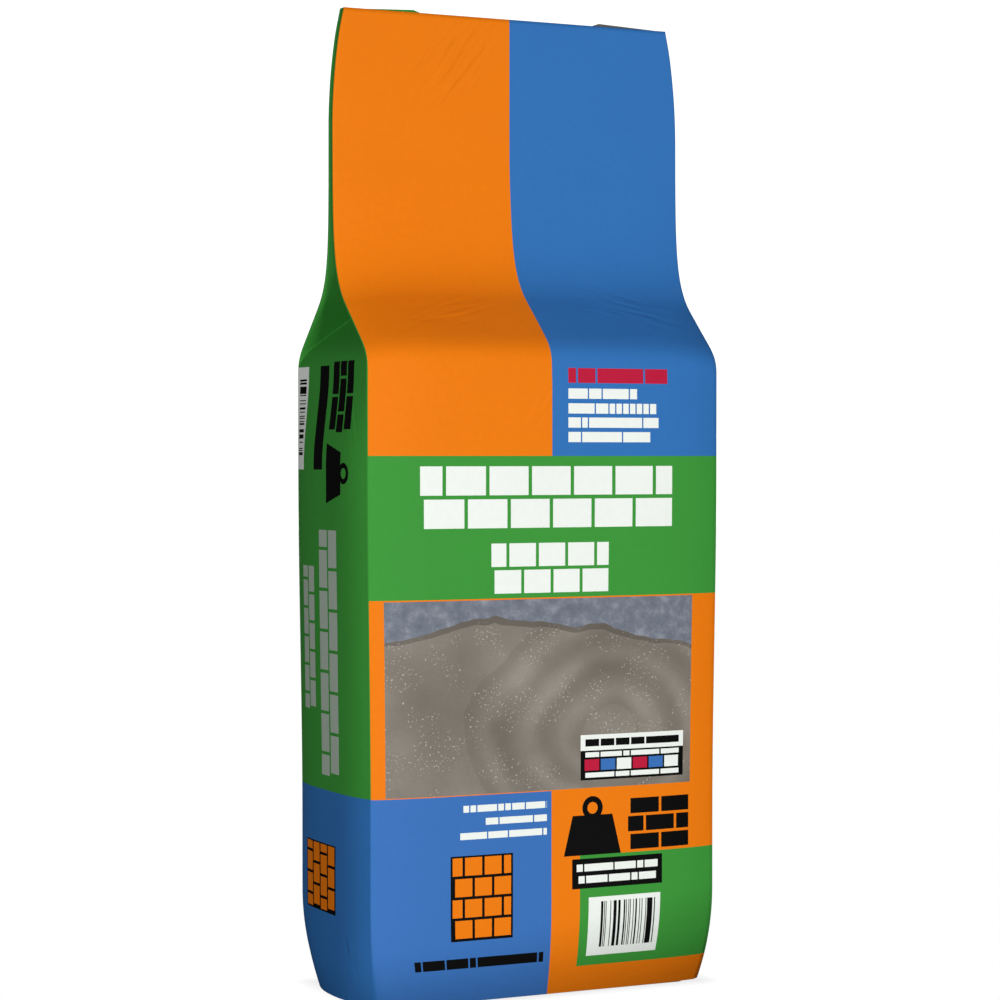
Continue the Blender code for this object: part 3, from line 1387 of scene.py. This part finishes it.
    def back_marks(self, panel: PaperPanel, colour: Wire) -> Wire:
        """The marks on the back panel.

        Args:
            panel: The back panel.
            colour: The ink fields.

        Returns:
            The colour with the marks.
        """
        marks = self.back
        colour = panel.inked(panel.inside(marks.panel), colour, PrintInk.WHITE)
        row = (panel.height - marks.panel.low) / marks.line
        place = panel.along / marks.word
        word = place.floored() + row.floored() * marks.line_seed
        cut = panel.sheet.chance(word) > marks.word_joins
        line = (row.wrapped() > marks.line_low) * (row.wrapped() < marks.line_high)
        text = line * (1.0 - (place.wrapped() > marks.word_share) * cut)
        colour = panel.inked(panel.inside(marks.text) * text, colour, PrintInk.TEXT_GREY)
        return panel.inked(panel.bricks(marks.courses), colour, PrintInk.WHITE)


@dataclass(frozen=True)
class ShadedBarePaper:
    """The unprinted inside and the cut edges of the sack paper. Its colour carries painted shade: it is
    darkened to stand for the shade inside the mouth, and the seam's underside and the flaps under the
    bottom share it.
    """

    # Painted shade: the paper and its flecks are darker than bare paper is, to stand for the shade
    # inside the mouth; the pale blotches are dust
    colour: Colour = ink(108, 104, 97)
    fleck: Colour = ink(74, 70, 64)
    fleck_strength: float = 0.7
    dust: Colour = ink(150, 148, 142)
    dust_scale: float = 60.0
    dust_least: float = 0.55
    dust_strength: float = 0.25
    fibre_scale: float = 700.0
    fibre_depth: float = 0.00012
    fibre_rough: float = 0.15
    roughness: float = 0.80
    gloss: float = 0.2

    def build(self) -> bpy.types.Material:
        """Make the material.

        Returns:
            The material.
        """
        sheet = NodeSheet("bare_paper_painted_shade")
        place = sheet.node("ShaderNodeTexCoord", None, None, "Object")
        fibre = sheet.noise(place, self.fibre_scale, 5.0, 0.65)
        dusty = sheet.noise(place, self.dust_scale, 3.0) > self.dust_least
        colour = sheet.layered(fibre * self.fleck_strength, self.colour, self.fleck)
        sockets = {
            "Base Color": sheet.layered(dusty * self.dust_strength, colour, self.dust),
            "Roughness": self.roughness + (fibre - 0.5) * self.fibre_rough,
            "Specular IOR Level": self.gloss,
            "Normal": sheet.bump(fibre, self.fibre_depth, 0.5),
        }
        return sheet.shader(sockets)


@dataclass(frozen=True)
class CementPowder:
    """Fine grey cement with small lumps."""

    light: Colour = ink(168, 165, 158)
    dark: Colour = ink(112, 110, 104)
    lump_scale: float = 120.0
    lump_depth: float = 0.0012
    grain_scale: float = 1400.0
    grain_depth: float = 0.0002
    grain_least: float = 0.6
    grain_strength: float = 0.3
    grain_rough: float = 0.1
    roughness: float = 0.92
    gloss: float = 0.2

    def build(self) -> bpy.types.Material:
        """Make the material.

        Returns:
            The material.
        """
        sheet = NodeSheet("cement_powder")
        place = sheet.node("ShaderNodeTexCoord", None, None, "Object")
        grain = sheet.noise(place, self.grain_scale, 4.0, 0.7)
        lump = sheet.noise(place, self.lump_scale, 4.0, 0.6)
        colour = sheet.layered(lump, self.light, self.dark)
        coarse = (grain > self.grain_least) * self.grain_strength
        sockets = {
            "Base Color": sheet.layered(coarse, colour, self.dark),
            "Roughness": self.roughness + (grain - 0.5) * self.grain_rough,
            "Specular IOR Level": self.gloss,
            "Normal": sheet.bump(grain, self.grain_depth, 0.6, sheet.bump(lump, self.lump_depth, 0.6)),
        }
        return sheet.shader(sockets)


@dataclass(frozen=True)
class StudioWhite:
    """The plain white floor of the studio, with a faint shade where the bag touches it."""

    half_x: float = 0.100
    half_y: float = 0.046
    shade: float = 0.82
    reach: float = 0.014

    def build(self) -> bpy.types.Material:
        """Make the material.

        Returns:
            The material.
        """
        sheet = NodeSheet("studio_floor")
        place = sheet.node("ShaderNodeTexCoord", None, None, "Object")
        x = sheet.node("ShaderNodeSeparateXYZ", None, {0: place}, 0)
        beside = (abs(x) - self.half_x).either(0.0)
        before = (abs(sheet.also(x, 1)) - self.half_y).either(0.0)
        away = (beside * beside + before * before).root() / self.reach
        shade = (self.shade,) * 3 + (1.0,)
        sockets: dict[int | str, Feed] = {
            "Base Color": (0.0, 0.0, 0.0, 1.0),
            "Roughness": 0.9,
            "Specular IOR Level": 0.0,
            "Emission Color": sheet.layered(away, shade, (1.0, 1.0, 1.0, 1.0)),
            "Emission Strength": 1.0,
        }
        return sheet.shader(sockets)


# Pieces


@dataclass
class Sack:
    """The paper sack: its skin, the lap seam down its back and the flaps under it."""

    shape: SackShape
    printed: bpy.types.Material
    shaded_bare: bpy.types.Material
    wall: float = 0.00036
    fill: float = 0.85
    seam_middle: float = 0.030
    seam_half: float = 0.013
    seam_gap: float = 0.00016
    seam_proud: float = 0.00035
    seam_columns: int = 12
    seam_low: float = 0.003
    seam_under_mouth: float = 0.0003
    flap_gap: float = 0.00015
    flap_room: float = 0.0004
    flap_wall: float = 0.0003
    flap_inset: float = 0.004
    flap_lap: float = 0.012
    flap_corner: float = 0.003
    short_flap_taper: float = 0.010
    long_flap_inset: float = 0.008
    long_flap_taper: float = 0.018
    long_flap_step: float = 0.00006

    def build(self) -> Iterator[bpy.types.Object]:
        """Make the sack's pieces.

        Yields:
            Each piece.
        """
        yield self.skin()
        yield self.back_seam()
        yield from self.flaps()

    def wrapped(
        self, heights: list[float], pick: Callable[[float], list[Station]], shut: bool
    ) -> bmesh.types.BMesh:
        """Wrap a grid onto a stack of cross-sections and lay the paper's UV map on it.

        Args:
            heights: The heights of the cross-sections.
            pick: Gives the stations of the cross-section at a height.
            shut: Whether the sheet goes once round and is welded to itself.

        Returns:
            The sheet, with its UV map named paper.
        """
        rows = len(heights) - 1
        rings = [pick(height) for height in heights]
        columns = len(rings[0]) - (0 if shut else 1)
        papers = [self.shape.paper_height(height) for height in heights]
        sheet = bmesh.new()
        bmesh.ops.create_grid(sheet, x_segments=columns, y_segments=rows, size=0.5)
        sheet.verts.ensure_lookup_table()
        paper = []
        for vert in sheet.verts:
            column = round((vert.co.x + 0.5) * columns)
            row = round((vert.co.y + 0.5) * rows)
            station = rings[row][column % len(rings[0])]
            vert.co = self.shape.settle(station, heights[row], papers[row])
            lap = 2 * (self.shape.width + self.shape.depth) if column >= len(rings[0]) else 0.0
            paper.append((station.along + lap + PAPER_SHIFT, papers[row]))
        uv = sheet.loops.layers.uv.new("paper")
        for face in sheet.faces:
            for loop in face.loops:
                loop[uv].uv = paper[loop.vert.index]
        bmesh.ops.remove_doubles(sheet, verts=sheet.verts, dist=WELD)
        return sheet

    def skin(self) -> bpy.types.Object:
        """The sack's paper, closed at the bottom and open at the mouth.

        Returns:
            The skin.
        """
        heights = self.shape.levels()
        sheet = self.wrapped(heights, self.shape.outline, True)
        rim = [edge for edge in sheet.edges if edge.is_boundary and edge.verts[0].co.z < heights[1]]
        made = bmesh.ops.contextual_create(sheet, geom=rim)
        for edge in rim:
            edge.smooth = False
        uv = sheet.loops.layers.uv["paper"]
        for face in made["faces"]:
            for loop in face.loops:
                loop[uv].uv = (loop.vert.co.x + self.shape.width / 2 + PAPER_SHIFT, 0.0)
        bmesh.ops.recalc_face_normals(sheet, faces=sheet.faces)
        # The inside and the cut edges take the bare paper, whose darker colour is painted shade for the
        # mouth
        piece = finished_piece("sack_skin", sheet, [self.printed, self.shaded_bare])
        paper_wall(piece, self.wall, 1, outward=False)
        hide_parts("paper_sack")
        return piece

    def seam_outline(self, height: float) -> list[Station]:
        """The stations of the lap seam, just off the back panel.

        Args:
            height: The height of the cross-section.

        Returns:
            The stations, from the seam's right edge as the back is looked at.
        """
        stations = []
        for step in range(self.seam_columns + 1):
            x = self.seam_middle + self.seam_half * (2 * step / self.seam_columns - 1)
            y = self.shape.back_y(height, abs(x))
            along = self.shape.width + self.shape.depth + self.shape.width / 2 - x
            stations.append(Station(x, y, along))
        return stations

    def back_seam(self) -> bpy.types.Object:
        """The glued lap that closes the sack's tube.

        Returns:
            The seam.
        """
        heights = [height for height in self.shape.levels() if height > self.seam_low]
        heights[-1] = self.shape.height - self.seam_under_mouth
        sheet = self.wrapped(heights, self.seam_outline, False)
        for vert in sheet.verts:
            vert.co.y += self.seam_gap
        bmesh.ops.recalc_face_normals(sheet, faces=sheet.faces)
        if sheet.faces[:][0].normal.y < 0.0:
            bmesh.ops.reverse_faces(sheet, faces=sheet.faces)
        piece = finished_piece("back_seam", sheet, [self.printed, self.shaded_bare])
        paper_wall(piece, self.seam_proud, 0, outward=True)
        return piece

    def flaps(self) -> Iterator[bpy.types.Object]:
        """The folded flaps of the bottom: two short ones, with two long ones glued over them.

        Yields:
            Each flap.
        """
        low = self.shape.outline(self.shape.foot)
        half_x = self.shape.half_width(self.shape.foot) - self.flap_inset
        front = min(station.y for station in low) + self.flap_inset
        back = max(station.y for station in low) - self.flap_inset
        middle = (front + back) / 2
        inner_x = half_x - (back - front) / 2 + self.flap_inset
        for side, name in ((-1.0, "left"), (1.0, "right")):
            corners = (
                (side * half_x, front + self.short_flap_taper),
                (side * half_x, back - self.short_flap_taper),
                (side * inner_x, middle + self.flap_lap),
                (side * inner_x, middle - self.flap_lap),
            )
            yield self.flap(f"bottom_flap_{name}", corners, self.shape.foot - self.flap_gap)
        edge_x = half_x - self.long_flap_inset
        lap_x = edge_x - self.long_flap_taper
        for side, name, edge in ((-1.0, "front", front), (1.0, "back", back)):
            lap = middle - side * self.flap_lap
            corners = ((-edge_x, edge), (edge_x, edge), (lap_x, lap), (-lap_x, lap))
            top = self.shape.foot - 2 * self.flap_gap - self.flap_room - side * self.long_flap_step
            yield self.flap(f"bottom_flap_{name}", corners, top)

    def flap(self, name: str, corners: tuple[tuple[float, float], ...], top: float) -> bpy.types.Object:
        """One flat flap with slightly rounded corners.

        Args:
            name: The piece's name.
            corners: The X and Y of its corners.
            top: The height of its upper face.

        Returns:
            The flap.
        """
        sheet = bmesh.new()
        verts = [sheet.verts.new((x, y, top)) for x, y in corners]
        bmesh.ops.contextual_create(sheet, geom=verts)
        bmesh.ops.bevel(
            sheet,
            geom=sheet.verts[:],
            offset=self.flap_corner,
            segments=4,
            profile=0.5,
            affect="VERTICES",
            material=-1,
        )
        bmesh.ops.recalc_face_normals(sheet, faces=sheet.faces)
        if sheet.faces[:][0].normal.z < 0.0:
            bmesh.ops.reverse_faces(sheet, faces=sheet.faces)
        piece = finished_piece(name, sheet, [self.shaded_bare])
        for face in piece.data.polygons:
            face.use_smooth = False
        paper_wall(piece, self.flap_wall, 0, outward=False)
        return piece


@dataclass
class Fill:
    """The cement in the sack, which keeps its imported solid."""

    powder: bpy.types.Material

    def build(self) -> Iterator[bpy.types.Object]:
        """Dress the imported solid.

        Yields:
            The solid.
        """
        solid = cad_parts["cement"]
        solid.data.materials.clear()
        solid.data.materials.append(self.powder)
        yield solid


@dataclass
class Studio:
    """The floor, the lights and the camera."""

    eye: tuple[float, float, float] = (-0.7137, -1.4530, 0.3070)
    heading: float = 26.0
    pitch: float = 0.917
    lens: float = 100.0
    sensor: float = 36.0
    nearest: float = 0.05
    farthest: float = 60.0
    floor_half: float = 9.0
    key_distance: float = 3.2
    key_heading: float = 3.0
    key_height: float = 0.10
    key_size: tuple[float, float] = (0.5, 0.8)
    key_power: float = 72.0
    fill_bearing: float = -130.0
    fill_height: float = 0.30
    fill_size: tuple[float, float] = (1.2, 1.0)
    fill_power: float = 44.0
    rear_bearing: float = 24.0
    rear_height: float = 0.60
    rear_size: tuple[float, float] = (1.6, 1.2)
    rear_power: float = 80.0
    aim_height: float = 0.30
    ambient: float = 0.08
    backdrop: float = 1.15
    flag_segments: int = 96
    flag_reach: float = 0.33
    flag_depth: float = 0.080
    flag_lowest: float = 0.005
    flag_height: float = 0.014
    flag_tilt: float = 0.17

    def build(self) -> None:
        """Make the studio."""
        self.floor()
        key = (self.key_heading - 180.0, self.key_height, self.key_size, self.key_power)
        fill = (self.fill_bearing, self.fill_height, self.fill_size, self.fill_power)
        rear = (self.rear_bearing, self.rear_height, self.rear_size, self.rear_power)
        self.soft_light("key_light", *key)
        self.soft_light("fill_light", *fill)
        self.soft_light("rear_light", *rear)
        self.flag()
        self.surroundings()
        self.camera()

    def floor(self) -> None:
        """The plain pale floor."""
        sheet = bmesh.new()
        bmesh.ops.create_grid(sheet, x_segments=1, y_segments=1, size=self.floor_half)
        data = bpy.data.meshes.new("studio_floor")
        sheet.to_mesh(data)
        sheet.free()
        data.materials.append(StudioWhite().build())
        ground = bpy.data.objects.new("studio_floor", data)
        bpy.context.scene.collection.objects.link(ground)
        ground.visible_diffuse = False
        ground.visible_glossy = False
        ground.visible_shadow = False
        ground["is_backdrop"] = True

    def flag(self) -> None:
        """A low black flag round the bag's foot, out of sight, that shades its lowest part."""
        sheet = bmesh.new()
        bmesh.ops.create_circle(sheet, segments=self.flag_segments, radius=self.flag_reach)
        raised = bmesh.ops.extrude_edge_only(sheet, edges=sheet.edges[:])["geom"]
        bmesh.ops.translate(sheet, vec=(0.0, 0.0, -self.flag_depth), verts=sheet.verts)
        for part in raised:
            if isinstance(part, bmesh.types.BMVert):
                part.co.z = max(self.flag_height + self.flag_tilt * part.co.x, self.flag_lowest)
        data = bpy.data.meshes.new("shade_flag")
        sheet.to_mesh(data)
        sheet.free()
        black = NodeSheet("shade_flag")
        cloth = {"Base Color": (0.0, 0.0, 0.0, 1.0), "Roughness": 1.0, "Specular IOR Level": 0.0}
        data.materials.append(black.shader(cloth))
        card = bpy.data.objects.new("shade_flag", data)
        bpy.context.scene.collection.objects.link(card)
        card.visible_camera = False
        card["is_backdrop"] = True

    def soft_light(
        self, name: str, bearing: float, height: float, size: tuple[float, float], power: float
    ) -> None:
        """A large soft box that faces the bag.

        Args:
            name: The light's name.
            bearing: Where it stands, in degrees from +Y towards +X.
            height: Its height.
            size: Its width and its height.
            power: Its power.
        """
        turn = math.radians(bearing)
        away = Vector((math.sin(turn), math.cos(turn), 0.0)) * self.key_distance
        lamp = bpy.data.lights.new(name, "AREA")
        lamp.shape = "RECTANGLE"
        lamp.size, lamp.size_y = size
        lamp.energy = power
        lit = bpy.data.objects.new(name, lamp)
        lit.location = away + Vector((0.0, 0.0, height))
        aim = Vector((0.0, 0.0, self.aim_height)) - lit.location
        lit.rotation_euler = aim.to_track_quat("-Z", "Y").to_euler()
        lit.visible_camera = False
        bpy.context.scene.collection.objects.link(lit)

    def surroundings(self) -> None:
        """White surroundings that light the bag only weakly."""
        world = bpy.data.worlds.new("studio")
        world.use_nodes = True
        nodes, links = world.node_tree.nodes, world.node_tree.links
        nodes.clear()
        out = nodes.new("ShaderNodeOutputWorld")
        seen = nodes.new("ShaderNodeBackground")
        seen.inputs["Strength"].default_value = self.backdrop
        felt = nodes.new("ShaderNodeBackground")
        felt.inputs["Strength"].default_value = self.ambient
        for part in (seen, felt):
            part.inputs["Color"].default_value = (1.0, 1.0, 1.0, 1.0)
        path = nodes.new("ShaderNodeLightPath")
        mix = nodes.new("ShaderNodeMixShader")
        links.new(path.outputs["Is Camera Ray"], mix.inputs[0])
        links.new(felt.outputs[0], mix.inputs[1])
        links.new(seen.outputs[0], mix.inputs[2])
        links.new(mix.outputs[0], out.inputs["Surface"])
        bpy.context.scene.world = world

    def camera(self) -> None:
        """The camera, at the photograph's viewing angle."""
        lens = bpy.data.cameras.new("camera")
        lens.lens = self.lens
        lens.sensor_width = self.sensor
        lens.clip_start = self.nearest
        lens.clip_end = self.farthest
        turn, dip = math.radians(self.heading), math.radians(self.pitch)
        ahead = Vector((math.sin(turn), math.cos(turn), -math.tan(dip)))
        eye = bpy.data.objects.new("camera", lens)
        eye.location = self.eye
        eye.rotation_euler = ahead.to_track_quat("-Z", "Y").to_euler()
        bpy.context.scene.collection.objects.link(eye)
        bpy.context.scene.camera = eye
        view = bpy.context.scene.view_settings
        view.view_transform = "Standard"
        view.look = "None"
        view.exposure = 0.0
        view.gamma = 1.0


def write_sizes() -> None:
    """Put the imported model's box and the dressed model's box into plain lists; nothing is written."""
    boxes = {"cad": CAD_BOX, "visual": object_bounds()}
    plain = {name: [list(corner) for corner in box] for name, box in boxes.items()}


def main() -> None:
    """Build the dressed bag and its studio."""
    logging.basicConfig(level=logging.INFO, format="%(name)s: %(message)s")
    shape = SackShape()
    printed = PrintedPaper(shape).build()
    shaded_bare = ShadedBarePaper().build()
    powder = CementPowder().build()
    for part in (Sack(shape, printed, shaded_bare), Fill(powder)):
        for piece in part.build():
            log.info("%s: %d faces", piece.name, len(piece.data.polygons))
    Studio().build()
    write_sizes()


if __name__ == "__main__":
    main()
